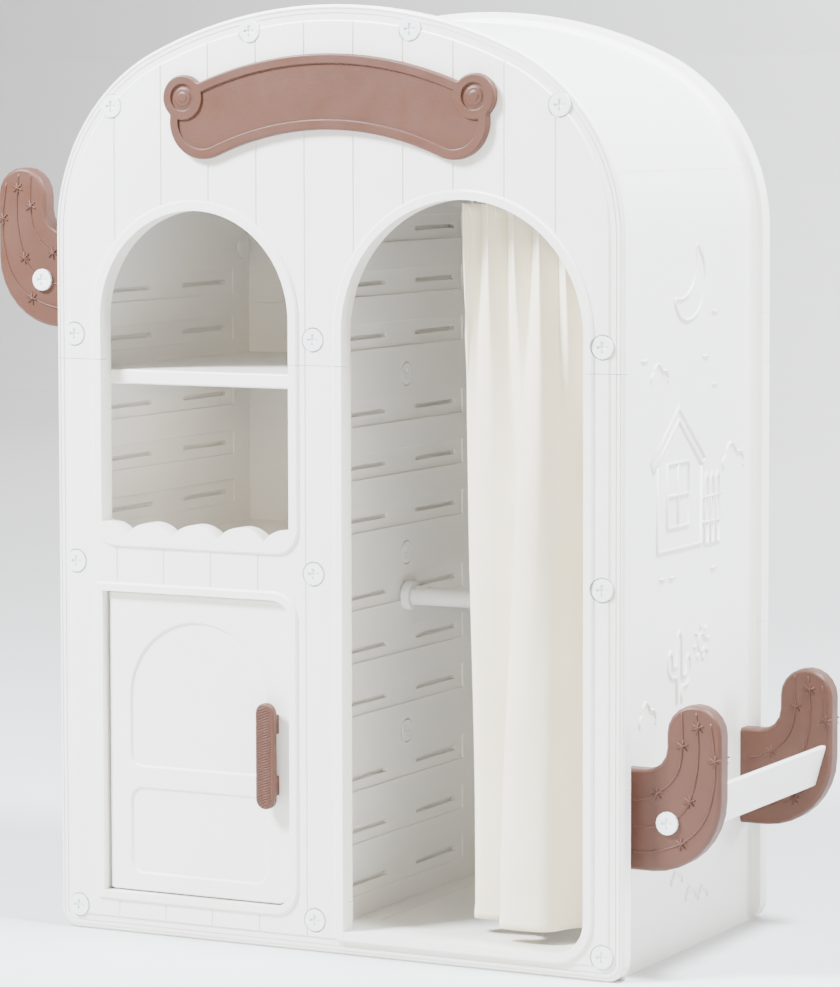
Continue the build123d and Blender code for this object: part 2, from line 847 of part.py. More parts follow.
# Sign: an arched band with two round ears and a raised rim
sign_centre_z = sign_height - sign_radius
lobe_z = sign_centre_z + sqrt(sign_radius**2 - sign_lobe_x**2)
sign_spine = Edge.make_three_point_arc((-sign_lobe_x, lobe_z), (0, sign_height), (sign_lobe_x, lobe_z))
with BuildPart() as sign:
    with BuildSketch(at_y(front_face)) as sign_outline:
        SlotArc(sign_spine, sign_width)
        with Locations((-ear_x, ear_z), (ear_x, ear_z)):
            Circle(ear_radius)
        notches = [
            v
            for v in sign_outline.vertices()
            if abs(sqrt((abs(v.X) - ear_x) ** 2 + (v.Y - ear_z) ** 2) - ear_radius) < 0.01
            and abs(v.Y - ear_z) > 1
        ]
        fillet(notches, sign_notch)
    extrude(amount=sign_thickness)
    chamfer(sign.faces().sort_by(Axis.Y)[0].edges(), sign_chamfer)
    with BuildSketch(at_y(front_face - sign_thickness)):
        SlotArc(sign_spine, sign_width - 2 * sign_rim)
        with Locations((-ear_x, ear_z), (ear_x, ear_z)):
            RegularPolygon(ear_radius, collar_sides, mode=Mode.SUBTRACT)
            RegularPolygon(ear_radius - ear_rim, collar_sides)
    extrude(amount=-sign_rim_depth, mode=Mode.SUBTRACT)
    for inset in (0, ear_dome_step):
        rise = ear_dome_rise * (inset + ear_dome_step) / (2 * ear_dome_step)
        with BuildSketch(at_y(front_face - sign_thickness + sign_rim_depth)):
            with Locations((-ear_x, ear_z), (ear_x, ear_z)):
                RegularPolygon(ear_dome - 2 * inset, collar_sides)
        extrude(amount=rise, taper=45)


# Screws
def cross_screw(shank, sides):
    """A screw along +Z with its head's underside at the origin and its shank below."""
    with BuildPart() as screw:
        with BuildSketch(Plane.XY):
            RegularPolygon(head_radius, sides)
        extrude(amount=head_height)
        if sides == head_sides:
            with BuildSketch(Plane.XY.offset(head_height)):
                Rectangle(cross_length, cross_width)
                Rectangle(cross_width, cross_length)
            extrude(amount=-cross_depth, mode=Mode.SUBTRACT)
        with BuildSketch(Plane.XY):
            RegularPolygon(shank_radius, shank_sides)
        extrude(amount=-shank)
    return screw.part


def screw_group(places, plane, shank, depth_off, sides):
    """Copies of the screw standing on a plane, at the places given in it."""
    with BuildPart() as group:
        with Locations(plane.offset(-depth_off)):
            with Locations([(u, v, 0) for u, v in places]):
                add(cross_screw(shank, sides))
    return group.part


with BuildPart() as front_screws:
    add(screw_group(screw_places, at_y(front_face), shank_length, pad_depth, head_sides))

back_plane = Plane(origin=(0, back_face, 0), x_dir=(-1, 0, 0), z_dir=(0, 1, 0))
with BuildPart() as back_screws:
    back_places = [(-x, z) for x, z in screw_places]
    add(screw_group(back_places, back_plane, shank_length, 0, plain_head_sides))

shelf_screw_places = [(rod_y, z) for z in (cabinet_shelf_z, lower_shelf_z, upper_shelf_z)]
with BuildPart() as divider_screws:
    add(screw_group(shelf_screw_places, at_x(divider_right), shank_length, pad_depth, head_sides))

left_plane = Plane(origin=(-side_outer, 0, 0), x_dir=(0, -1, 0), z_dir=(-1, 0, 0))
with BuildPart() as side_screws:
    left_places = [(-y, z) for y, z in shelf_screw_places]
    add(screw_group(left_places, left_plane, shank_length, pad_depth, plain_head_sides))


# Clothes rod with a collar at each end
with BuildPart() as clothes_rod:
    with BuildSketch(at_x(divider_right)):
        with Locations((rod_y, rod_z)):
            Circle(rod_radius)
    extrude(amount=side_inner - divider_right)

with BuildPart() as rod_collars:
    for start, way in ((divider_right, 1), (side_inner, -1)):
        with BuildSketch(at_x(start)):
            with Locations((rod_y, rod_z)):
                RegularPolygon(collar_radius, collar_sides)
                RegularPolygon(rod_radius, collar_sides, major_radius=False, mode=Mode.SUBTRACT)
        extrude(amount=way * collar_length)

# Curtain rod, rings and curtain
with BuildPart() as curtain_rod:
    with BuildSketch(at_x(divider_right - track_seat)):
        with Locations((track_at_y, track_z)):
            Circle(track_radius)
    extrude(amount=track_end + track_seat - divider_right + track_seat)


def curtain_ring(x):
    """A ring on the rod with a hook's stem down to the curtain's top edge."""
    outer = track_radius + ring_clearance + ring_wall
    with BuildPart() as ring:
        with BuildSketch(at_x(x - ring_length / 2)):
            with Locations((track_at_y, track_z)):
                RegularPolygon(outer, ring_sides)
            with Locations((track_at_y, (track_z + curtain_top + curtain_clearance) / 2)):
                Rectangle(ring_wall, track_z - curtain_top - curtain_clearance)
            with Locations((track_at_y, track_z)):
                RegularPolygon(
                    track_radius + ring_clearance, ring_sides, major_radius=False, mode=Mode.SUBTRACT
                )
        extrude(amount=ring_length)
    return ring.part


ring_step = (ring_last_x - ring_first_x) / (rings - 1)
ring_parts = []
for i in range(rings):
    with BuildPart() as curtain_ring_part:
        add(curtain_ring(ring_first_x + ring_step * i))
    ring_parts.append(curtain_ring_part.part)

# Folds of the curtain from its free edge: the width of each, how far behind the front face
# the cloth passes between them, and how far each bulges to the front
fold_widths = (24.0, 24.0, 26.0, 30.0, 34.0, 32.0, 31.0)
fold_line = (86.0, 82.0, 80.0, 58.0, 47.0, 47.0, 56.0, 64.0)
fold_bulges = (-6.0, 6.0, -4.5, 8.0, -8.0, 8.0, -7.0)
curtain_left = 172.0
curtain_belly = 16.0
belly_z = 560.0
header_ease = 0.35
header_bulge = 0.7
fold_steps = 3


def curtain_section(z, left, ease, bulge):
    """One level of the folded cloth: bows to and fro, as thick as the cloth."""
    right = curtain_left + sum(fold_widths)
    stretch = (right - left) / sum(fold_widths)
    points = []
    x = left
    for i, line in enumerate(fold_line):
        points.append((x, front_face + track_y + (line - track_y) * ease))
        if i < len(fold_widths):
            x = x + fold_widths[i] * stretch
    line = [points[0]]
    for i, depth_of_fold in enumerate(fold_bulges):
        x0, y0 = points[i]
        x1, y1 = points[i + 1]
        chord = sqrt((x1 - x0) ** 2 + (y1 - y0) ** 2)
        for step in range(1, fold_steps + 1):
            t = step / fold_steps
            off = 4 * t * (1 - t) * depth_of_fold * bulge / chord
            line.append((x0 + t * (x1 - x0) + off * (y1 - y0), y0 + t * (y1 - y0) - off * (x1 - x0)))
    back = [(x, y + curtain_thickness) for x, y in reversed(line)]
    with BuildSketch(Plane.XY.offset(z)) as section:
        with BuildLine():
            Polyline(line + back, close=True)
        make_face()
    return section.sketch


with BuildPart() as curtain:
    loft(
        [
            curtain_section(curtain_foot, curtain_left, 1, 1),
            curtain_section(belly_z, curtain_left - curtain_belly, 1, 1),
            curtain_section(curtain_top, curtain_left, header_ease, header_bulge),
        ],
        ruled=True,
    )


# Brackets
arm_end = side_outer + arm_reach
arm_inside = arm_end - arm_width
arm_half = arm_width / 2
arm_points = [(side_outer, arm_bottom)]
arm_points += bow(arm_end - arm_outer_radius, arm_bottom + arm_outer_radius, arm_outer_radius, -90, 0, 8)
arm_points += bow(arm_end - arm_half, arm_top - arm_half, arm_half, 0, 180, 10)
arm_points += bow(arm_inside - arm_inner_radius, arm_root_top + arm_inner_radius, arm_inner_radius, 0, -90, 4)
arm_points += [(side_outer, arm_root_top)]
with BuildPart() as bracket_front_right:
    with BuildSketch(at_y(rack_y_front + arm_thickness)):
        with BuildLine():
            Polyline(arm_points, close=True)
        make_face()
    extrude(amount=arm_thickness)
    round_edges = [
        e
        for e in bracket_front_right.edges()
        if e.center().X > side_outer + 0.1 and abs(e.bounding_box().size.Y) < 0.1
    ]
    chamfer(round_edges, arm_chamfer)
    with BuildSketch(at_y(rack_y_front + arm_thickness)):
        with Locations((tray_screw_x, tray_screw_z)):
            RegularPolygon(shank_radius, shank_sides)
    extrude(amount=arm_thickness, mode=Mode.SUBTRACT)
    with BuildSketch(at_x(side_outer)):
        with Locations((rack_y_front + arm_thickness / 2, root_screw_z)):
            RegularPolygon(shank_radius, shank_sides)
    extrude(amount=shank_length - shell_thickness, mode=Mode.SUBTRACT)

rack_middle = (rack_y_front + rack_y_back) / 2
with BuildPart() as bracket_back_right:
    add(mirror(bracket_front_right.part, about=Plane.XZ.offset(-rack_middle), mode=Mode.PRIVATE))

with BuildPart() as bracket_front_left:
    add(mirror(bracket_front_right.part, about=Plane.YZ, mode=Mode.PRIVATE).moved(Location((0, 0, rack_lift))))

with BuildPart() as bracket_back_left:
    add(mirror(bracket_back_right.part, about=Plane.YZ, mode=Mode.PRIVATE).moved(Location((0, 0, rack_lift))))

# Trays
tray_low = tray_screw_z - tray_floor / 2
tray_high = tray_screw_z + tray_floor / 2
lip_x = side_outer + tray_lip_foot
with BuildPart() as tray_right:
    with BuildSketch(at_y(rack_y_back - arm_thickness)) as profile:
        with BuildLine():
            Polyline(
                (side_outer + tray_start, tray_low),
                (lip_x, tray_low),
                (lip_x + tray_lip_lean, tray_low + tray_lip_height),
                (lip_x + tray_lip_lean - tray_lip_thickness, tray_low + tray_lip_height),
                (lip_x - tray_lip_thickness, tray_high),
                (side_outer + tray_start, tray_high),
                close=True,
            )
        make_face()
        chamfer(profile.vertices(), tray_chamfer)
    extrude(amount=rack_y_back - rack_y_front - 2 * arm_thickness)
    with BuildSketch(at_y(rack_y_front + arm_thickness)):
        with Locations((tray_screw_x, tray_screw_z)):
            RegularPolygon(shank_radius, shank_sides)
    extrude(amount=arm_thickness - shank_length, mode=Mode.SUBTRACT)
    with BuildSketch(at_y(rack_y_back - arm_thickness)):
        with Locations((tray_screw_x, tray_screw_z)):
            RegularPolygon(shank_radius, shank_sides)
    extrude(amount=shank_length - arm_thickness, mode=Mode.SUBTRACT)

with BuildPart() as tray_left:
    add(mirror(tray_right.part, about=Plane.YZ, mode=Mode.PRIVATE).moved(Location((0, 0, rack_lift))))

arm_back_plane = Plane(origin=(0, rack_y_back, 0), x_dir=(-1, 0, 0), z_dir=(0, 1, 0))
with BuildPart() as tray_screws_right:
    add(screw_group([(tray_screw_x, tray_screw_z)], at_y(rack_y_front), shank_length, 0, head_sides))
    add(screw_group([(-tray_screw_x, tray_screw_z)], arm_back_plane, shank_length, 0, head_sides))

with BuildPart() as tray_screws_left:
    add(mirror(tray_screws_right.part, about=Plane.YZ, mode=Mode.PRIVATE).moved(Location((0, 0, rack_lift))))

inner_plane = Plane(origin=(side_inner, 0, 0), x_dir=(0, -1, 0), z_dir=(-1, 0, 0))
with BuildPart() as root_screws_right:
    root_places = [(-y, root_screw_z) for y in root_screw_places]
    add(screw_group(root_places, inner_plane, shank_length, 0, plain_head_sides))

with BuildPart() as root_screws_left:
    add(mirror(root_screws_right.part, about=Plane.YZ, mode=Mode.PRIVATE).moved(Location((0, 0, rack_lift))))

front_upper.part.label = "front_upper"
front_lower_left.part.label = "front_lower_left"
front_lower_right.part.label = "front_lower_right"
back_lower.part.label = "back_lower"
back_middle.part.label = "back_middle"
back_upper.part.label = "back_upper"
roof.part.label = "roof"
side_right.part.label = "side_right"
side_left.part.label = "side_left"
divider.part.label = "divider"
upper_shelf.part.label = "upper_shelf"
lower_shelf.part.label = "lower_shelf"
cabinet_shelf.part.label = "cabinet_shelf"
floor_left.part.label = "floor_left"
floor_right.part.label = "floor_right"
door.part.label = "door"
hinge_pins.part.label = "hinge_pins"
door_handle.part.label = "door_handle"
handle_screws.part.label = "handle_screws"
sign.part.label = "sign"
front_screws.part.label = "front_screws"
back_screws.part.label = "back_screws"
divider_screws.part.label = "divider_screws"
side_screws.part.label = "side_screws"
clothes_rod.part.label = "clothes_rod"
rod_collars.part.label = "rod_collars"
curtain_rod.part.label = "curtain_rod"
curtain.part.label = "curtain"
bracket_front_right.part.label = "bracket_front_right"
bracket_back_right.part.label = "bracket_back_right"
bracket_front_left.part.label = "bracket_front_left"
bracket_back_left.part.label = "bracket_back_left"
tray_right.part.label = "tray_right"
tray_left.part.label = "tray_left"
tray_screws_right.part.label = "tray_screws_right"
tray_screws_left.part.label = "tray_screws_left"
root_screws_right.part.label = "root_screws_right"
root_screws_left.part.label = "root_screws_left"

export_step(front_upper.part, "parts/front_upper.step")
export_step(front_lower_left.part, "parts/front_lower_left.step")
export_step(front_lower_right.part, "parts/front_lower_right.step")
export_step(back_lower.part, "parts/back_lower.step")
export_step(back_middle.part, "parts/back_middle.step")
export_step(back_upper.part, "parts/back_upper.step")
export_step(roof.part, "parts/roof.step")
export_step(side_right.part, "parts/side_right.step")
export_step(side_left.part, "parts/side_left.step")
export_step(divider.part, "parts/divider.step")
export_step(upper_shelf.part, "parts/upper_shelf.step")
export_step(lower_shelf.part, "parts/lower_shelf.step")
export_step(cabinet_shelf.part, "parts/cabinet_shelf.step")
export_step(floor_left.part, "parts/floor_left.step")
export_step(floor_right.part, "parts/floor_right.step")
export_step(door.part, "parts/door.step")
export_step(hinge_pins.part, "parts/hinge_pins.step")
export_step(door_handle.part, "parts/door_handle.step")
export_step(handle_screws.part, "parts/handle_screws.step")
export_step(sign.part, "parts/sign.step")
export_step(front_screws.part, "parts/front_screws.step")
export_step(back_screws.part, "parts/back_screws.step")
export_step(divider_screws.part, "parts/divider_screws.step")
export_step(side_screws.part, "parts/side_screws.step")
export_step(clothes_rod.part, "parts/clothes_rod.step")
export_step(rod_collars.part, "parts/rod_collars.step")
export_step(curtain_rod.part, "parts/curtain_rod.step")
export_step(curtain.part, "parts/curtain.step")
export_step(bracket_front_right.part, "parts/bracket_front_right.step")
export_step(bracket_back_right.part, "parts/bracket_back_right.step")
export_step(bracket_front_left.part, "parts/bracket_front_left.step")
export_step(bracket_back_left.part, "parts/bracket_back_left.step")
export_step(tray_right.part, "parts/tray_right.step")
export_step(tray_left.part, "parts/tray_left.step")
export_step(tray_screws_right.part, "parts/tray_screws_right.step")
export_step(tray_screws_left.part, "parts/tray_screws_left.step")
export_step(root_screws_right.part, "parts/root_screws_right.step")
export_step(root_screws_left.part, "parts/root_screws_left.step")
for i, part in enumerate(ring_parts):
    part.label = f"curtain_ring_{i + 1}"
    export_step(part, f"parts/curtain_ring_{i + 1}.step")
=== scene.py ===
import json
import math

import bmesh
import bpy
from mathutils import Matrix, Vector


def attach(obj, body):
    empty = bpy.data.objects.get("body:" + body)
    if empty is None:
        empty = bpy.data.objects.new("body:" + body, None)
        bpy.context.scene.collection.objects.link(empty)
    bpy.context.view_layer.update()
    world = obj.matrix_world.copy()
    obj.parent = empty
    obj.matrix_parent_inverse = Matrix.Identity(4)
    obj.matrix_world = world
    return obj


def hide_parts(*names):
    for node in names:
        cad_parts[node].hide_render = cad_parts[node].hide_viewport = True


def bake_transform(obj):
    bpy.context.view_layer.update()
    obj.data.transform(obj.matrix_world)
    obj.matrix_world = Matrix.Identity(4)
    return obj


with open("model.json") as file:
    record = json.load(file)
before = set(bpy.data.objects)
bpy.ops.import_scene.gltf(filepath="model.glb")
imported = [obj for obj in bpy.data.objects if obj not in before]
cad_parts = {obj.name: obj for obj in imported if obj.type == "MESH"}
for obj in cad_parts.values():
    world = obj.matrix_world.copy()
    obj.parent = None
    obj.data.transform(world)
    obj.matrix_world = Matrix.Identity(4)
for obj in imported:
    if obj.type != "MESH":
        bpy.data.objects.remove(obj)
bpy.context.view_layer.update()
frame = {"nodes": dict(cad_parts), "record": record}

# Places of the frame, in metres
FRONT = -0.245
SIDE = 0.409
RACK_FRONT = -0.205
RACK_BACK = 0.209
ARM_THICKNESS = 0.028
RACK_LIFT = 0.683
TRACK_Y = -0.185
CURTAIN_TOP = 1.0
CURTAIN_FOOT = 0.05
CURTAIN_HEIGHT = CURTAIN_TOP - CURTAIN_FOOT
RING_FIRST = 0.180
RING_STEP = 0.0368
RINGS = 6

# Camera: turned to the left, looking a little down, in degrees; place in metres
CAMERA_YAW = 27.188
CAMERA_PITCH = 4.289
CAMERA_ROLL = -0.116
CAMERA_PLACE = (2.5194, -4.8895, 1.1099)
CAMERA_LENS = 146.42
CAMERA_SHIFT = -0.0745

# Studio lights: name, place, target, size, power, colour
COOL = (0.87, 0.935, 1.0)
PALE = (0.95, 0.97, 1.0)
FILL = (1.0, 0.90, 0.72)
WARM = (1.0, 0.66, 0.30)
LIGHTS = [
    ("key", (-2.1, -2.6, 3.6), (0, 0, 1.0), (1.1, 1.1), 1020, COOL),
    ("side", (1.9, -0.3, 4.0), (0.4, 0, 0.7), (0.7, 0.7), 700, COOL),
    ("front_fill", (1.7, -4.8, 1.7), (0, 0, 0.75), (1.6, 1.2), 75, FILL),
    ("back_right", (3.4, 2.0, 1.6), (0.4, 0.1, 0.6), (1.0, 1.0), 170, COOL),
    ("overhead", (0, 0, 6.5), (0, 0.01, 0), (16, 16), 600, PALE),
    ("paper", (0, 6.2, 5.5), (0, 9.2, 1.5), (5.0, 1.5), 1100, PALE),
    ("inside_right", (0.18, 0.0, 1.1), (0.18, 0.05, 0), (0.2, 0.3), 0.04, WARM),
    ("inside_left", (-0.2, 0.0, 1.12), (-0.2, 0.05, 0), (0.2, 0.3), 0.05, WARM),
    ("inside_sill", (-0.2, -0.05, 0.745), (-0.2, 0.0, 0), (0.2, 0.2), 0.1, WARM),
]
WORLD_COLOUR = (1.0, 0.74, 0.40)
WORLD_STRENGTH = 0.27

# Backdrop: a floor that sweeps up behind the part
STAGE_NEAR = -14.0
STAGE_FAR = 7.6
STAGE_BEND = 1.6
STAGE_TOP = 8.0
STAGE_HALF_WIDTH = 14.0


# Camera, stage and lights

def axes_matrix(x, y, z, place):
    matrix = Matrix.Identity(4)
    for i, axis in enumerate((x, y, z, place)):
        for j in range(3):
            matrix[j][i] = axis[j]
    return matrix


def add_camera():
    yaw, pitch, roll = (math.radians(a) for a in (CAMERA_YAW, CAMERA_PITCH, CAMERA_ROLL))
    ahead = Vector((-math.sin(yaw) * math.cos(pitch), math.cos(yaw) * math.cos(pitch), -math.sin(pitch)))
    level = Vector((math.cos(yaw), math.sin(yaw), 0))
    rise = level.cross(ahead)
    right = math.cos(roll) * level + math.sin(roll) * rise
    up = -math.sin(roll) * level + math.cos(roll) * rise
    data = bpy.data.cameras.new("camera")
    data.lens = CAMERA_LENS
    data.sensor_width = 36
    data.shift_y = CAMERA_SHIFT
    data.clip_end = 50
    data.dof.use_dof = False
    camera = bpy.data.objects.new("camera", data)
    bpy.context.collection.objects.link(camera)
    camera.matrix_world = axes_matrix(right, up, -ahead, Vector(CAMERA_PLACE))
    bpy.context.scene.camera = camera


def area_light(name, place, target, size, power, colour):
    data = bpy.data.lights.new(name, "AREA")
    data.shape = "RECTANGLE"
    data.size, data.size_y = size
    data.energy = power
    data.color = colour
    light = bpy.data.objects.new(name, data)
    bpy.context.collection.objects.link(light)
    light.location = place
    light.rotation_euler = (Vector(target) - Vector(place)).to_track_quat("-Z", "Y").to_euler()


def add_world():
    world = bpy.data.worlds.new("studio")
    world.use_nodes = True
    back = world.node_tree.nodes["Background"]
    back.inputs["Color"].default_value = (*WORLD_COLOUR, 1)
    back.inputs["Strength"].default_value = WORLD_STRENGTH
    bpy.context.scene.world = world


def add_lights():
    add_world()
    for light in LIGHTS:
        area_light(*light)


def add_stage():
    profile = [(STAGE_NEAR, 0.0), (STAGE_FAR, 0.0)]
    for degrees in range(9, 91, 9):
        a = math.radians(degrees)
        profile.append((STAGE_FAR + STAGE_BEND * math.sin(a), STAGE_BEND - STAGE_BEND * math.cos(a)))
    profile.append((STAGE_FAR + STAGE_BEND, STAGE_TOP))
    mesh = bmesh.new()
    rows = [[mesh.verts.new((x, y, z)) for y, z in profile] for x in (-STAGE_HALF_WIDTH, STAGE_HALF_WIDTH)]
    for i in range(len(profile) - 1):
        mesh.faces.new((rows[0][i], rows[1][i], rows[1][i + 1], rows[0][i + 1]))
    floor = to_object(mesh, "backdrop", plain("backdrop_paper", (0.62, 0.62, 0.62), 0.9))


# Materials

def new_material(name):
    material = bpy.data.materials.new(name)
    material.use_nodes = True
    return material, material.node_tree, material.node_tree.nodes["Principled BSDF"]


def plain(name, colour, roughness):
    material, tree, surface = new_material(name)
    surface.inputs["Base Color"].default_value = (*colour, 1)
    surface.inputs["Roughness"].default_value = roughness
    return material


def noise(tree, scale, detail=3.0):
    place = tree.nodes.new("ShaderNodeTexCoord")
    texture = tree.nodes.new("ShaderNodeTexNoise")
    texture.inputs["Scale"].default_value = scale
    texture.inputs["Detail"].default_value = detail
    tree.links.new(place.outputs["Object"], texture.inputs["Vector"])
    return texture.outputs["Fac"]


def spread(tree, source, low, high):
    """The middle of a noise's range, spread from low to high."""
    ramp = tree.nodes.new("ShaderNodeMapRange")
    ramp.inputs["From Min"].default_value = 0.3
    ramp.inputs["From Max"].default_value = 0.7
    ramp.inputs["To Min"].default_value = low
    ramp.inputs["To Max"].default_value = high
    tree.links.new(source, ramp.inputs["Value"])
    return ramp.outputs["Result"]


def tint(tree, source, first, second):
    """The middle of a noise's range, spread between two colours."""
    ramp = tree.nodes.new("ShaderNodeValToRGB")
    ramp.color_ramp.elements[0].position = 0.3
    ramp.color_ramp.elements[0].color = (*first, 1)
    ramp.color_ramp.elements[1].position = 0.7
    ramp.color_ramp.elements[1].color = (*second, 1)
    tree.links.new(source, ramp.inputs["Fac"])
    return ramp.outputs["Color"]


def bumps(tree, height, distance, strength, below=None):
    bump = tree.nodes.new("ShaderNodeBump")
    bump.inputs["Distance"].default_value = distance
    bump.inputs["Strength"].default_value = strength
    tree.links.new(height, bump.inputs["Height"])
    if below is not None:
        tree.links.new(below, bump.inputs["Normal"])
    return bump.outputs["Normal"]


def moulded(name, first, second, roughness, grain, grain_depth):
    """Blow-moulded plastic: faint uneven tone, fine grain and slow waves in the wall."""
    material, tree, surface = new_material(name)
    tree.links.new(tint(tree, noise(tree, 5.0), first, second), surface.inputs["Base Color"])
    tree.links.new(spread(tree, noise(tree, 28.0), *roughness), surface.inputs["Roughness"])
    waves = bumps(tree, noise(tree, 9.0, 1.0), 0.002, 0.18)
    fine = bumps(tree, noise(tree, grain, 2.0), grain_depth, 0.35, waves)
    tree.links.new(fine, surface.inputs["Normal"])
    surface.inputs["Specular IOR Level"].default_value = 0.42
    return material


def woven(name, first, second):
    """Plain-weave cloth on the piece's own flat coordinates, in metres."""
    material, tree, surface = new_material(name)
    flat = tree.nodes.new("ShaderNodeUVMap")
    flat.uv_map = "cloth"
    heights = []
    for direction in ("X", "Y"):
        wave = tree.nodes.new("ShaderNodeTexWave")
        wave.bands_direction = direction
        wave.inputs["Scale"].default_value = 260.0
        wave.inputs["Distortion"].default_value = 0.6
        tree.links.new(flat.outputs["UV"], wave.inputs["Vector"])
        heights.append(wave.outputs["Fac"])
    cross = tree.nodes.new("ShaderNodeMath")
    cross.operation = "MULTIPLY"
    tree.links.new(heights[0], cross.inputs[0])
    tree.links.new(heights[1], cross.inputs[1])
    tree.links.new(tint(tree, noise(tree, 14.0), first, second), surface.inputs["Base Color"])
    tree.links.new(bumps(tree, cross.outputs["Value"], 0.0003, 0.4), surface.inputs["Normal"])
    surface.inputs["Roughness"].default_value = 0.86
    surface.inputs["Sheen Weight"].default_value = 0.25
    surface.inputs["Specular IOR Level"].default_value = 0.2
    surface.inputs["Subsurface Weight"].default_value = 0.08
    surface.inputs["Subsurface Radius"].default_value = (0.004, 0.003, 0.002)
    return material


# Moulded plastics: two tones, the range of roughness, the grain's scale and its depth in metres
PLASTICS = {
    "white_plastic": ((0.82, 0.803, 0.762), (0.84, 0.823, 0.782), (0.32, 0.42), 420.0, 0.0004),
    "brown_plastic": ((0.077, 0.0270, 0.0150), (0.090, 0.0325, 0.0187), (0.42, 0.54), 520.0, 0.0005),
    "screw_plastic": ((0.82, 0.82, 0.82), (0.84, 0.84, 0.84), (0.30, 0.38), 300.0, 0.0001),
    "rod_plastic": ((0.78, 0.78, 0.76), (0.80, 0.80, 0.78), (0.26, 0.34), 300.0, 0.0001),
}
MATERIALS = {name: moulded(name, *look) for name, look in PLASTICS.items()}
MATERIALS["curtain_cloth"] = woven("curtain_cloth", (0.77, 0.69, 0.53), (0.81, 0.735, 0.575))


# Pieces

def to_object(mesh, name, material):
    bmesh.ops.remove_doubles(mesh, verts=mesh.verts, dist=1e-6)
    data = bpy.data.meshes.new(name)
    mesh.to_mesh(data)
    mesh.free()
    piece = bpy.data.objects.new(name, data)
    bpy.context.collection.objects.link(piece)
    data.materials.append(material)
    return piece


def add_piece(mesh, name, slot, body):
    bmesh.ops.recalc_face_normals(mesh, faces=mesh.faces)
    for face in mesh.faces:
        face.smooth = True
    piece = to_object(mesh, name, MATERIALS[slot])
    if body:
        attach(piece, body)
    return piece


# A low rounded line in section: shares of its width and of its height
RIDGE_SECTION = [
    (-0.5, -0.25), (-0.5, 0.15), (-0.28, 0.8), (0, 1), (0.28, 0.8), (0.5, 0.15), (0.5, -0.25),
]

# Widths and heights of the raised lines, in metres
SIDE_LINE = (0.0042, 0.0030)
ARM_LINE = (0.0024, 0.0014)
ARM_MARK = (0.0022, 0.0018)
HANDLE_RIB = (0.0022, 0.0009)


def add_ridge(mesh, points, normal, size, closed=False):
    """A raised line on a flat face: a low rounded section drawn along points."""
    width, height = size
    n = Vector(normal).normalized()
    points = [Vector(p) for p in points]
    count = len(points)
    rows = []
    for i, p in enumerate(points):
        before = points[i - 1] if i or closed else p
        after = points[(i + 1) % count] if i < count - 1 or closed else p
        a = (p - before).normalized() if (p - before).length > 0 else (after - p).normalized()
        b = (after - p).normalized() if (after - p).length > 0 else a
        along = (a + b).normalized() if (a + b).length > 1e-6 else b
        across = n.cross(along).normalized()
        reach = 1 / max(0.5, abs(n.cross(b).normalized().dot(across)))
        section = [across * s * width * reach + n * h * height for s, h in RIDGE_SECTION]
        rows.append([mesh.verts.new(p + q) for q in section])
    spans = count if closed else count - 1
    sides = len(RIDGE_SECTION)
    for i in range(spans):
        first, second = rows[i], rows[(i + 1) % count]
        for j in range(sides):
            k = (j + 1) % sides
            mesh.faces.new((first[j], first[k], second[k], second[j]))
    if not closed:
        mesh.faces.new(rows[0])
        mesh.faces.new(rows[-1])


def smooth_line(points, steps, closed=False):
    """Points of a curve through the points given, with steps to each span."""
    count = len(points)
    line = []
    for i in range(count if closed else count - 1):
        if closed:
            q = [Vector(points[(i + k - 1) % count]) for k in range(4)]
        else:
            q = [Vector(points[min(max(i + k - 1, 0), count - 1)]) for k in range(4)]
        for s in range(steps):
            t = s / steps
            line.append(
                0.5 * (2 * q[1] + (q[2] - q[0]) * t + (2 * q[0] - 5 * q[1] + 4 * q[2] - q[3]) * t * t
                       + (3 * q[1] - q[0] - 3 * q[2] + q[3]) * t ** 3)
            )
    if not closed:
        line.append(Vector(points[-1]))
    return line


def ray_point(centre, radius, angle):
    return (centre[0] + radius * math.cos(angle), centre[1] + radius * math.sin(angle))


# Line drawings moulded into the side panels: (distance behind the front face, height), in millimetres
MOON = [
    (269, 944), (291, 922), (295, 893), (284, 865), (262, 849), (234, 844), (209, 853), (197, 872),
    (222, 873), (246, 882), (262, 900), (269, 922),
]
CLOUD_SHAPE = [
    (0.02, 0.1), (0.0, 0.35), (0.14, 0.52), (0.2, 0.78), (0.38, 0.95), (0.56, 0.82), (0.66, 0.62),
    (0.86, 0.6), (0.98, 0.36), (0.96, 0.08),
]
# Left, right, low and high of each cloud and tuft
CLOUDS = [
    (359, 433, 632, 673), (84, 138, 315, 353), (190, 226, 92, 112), (238, 272, 64, 84), (280, 312, 58, 78),
    (120, 176, 764, 792),
]
DASHES = [(331, 852), (300, 793), (99, 797), (331, 754), (157, 507), (328, 506), (190, 506)]
DASH_HALF = 9
ROOF_AND_WALLS = [
    [(120, 661), (210, 730), (298, 658)],
    [(128, 650), (210, 713), (290, 647)],
    [(120, 661), (128, 650)],
    [(298, 658), (290, 647)],
    [(140, 655), (140, 543), (285, 543), (285, 648)],
]
HOUSE_WINDOW = [(172, 572), (172, 657), (243, 657), (243, 572)]
WINDOW_BARS = [[(207, 574), (207, 655)], [(174, 614), (241, 614)]]
FENCE_POSTS = (303, 322, 341)
FENCE_RAILS = (570, 604)
CACTUS = [
    (205, 335), (205, 372), (188, 372), (177, 382), (177, 402), (184, 408), (191, 402), (191, 386),
    (205, 386), (205, 424), (213, 433), (221, 424), (221, 372), (236, 372), (236, 392), (243, 398),
    (250, 392), (250, 368), (240, 358), (221, 358), (221, 335),
]
SUN = (288, 409)
SUN_RADIUS = 12
SUN_RAYS = 8
SUN_RAY_ENDS = (17, 26)


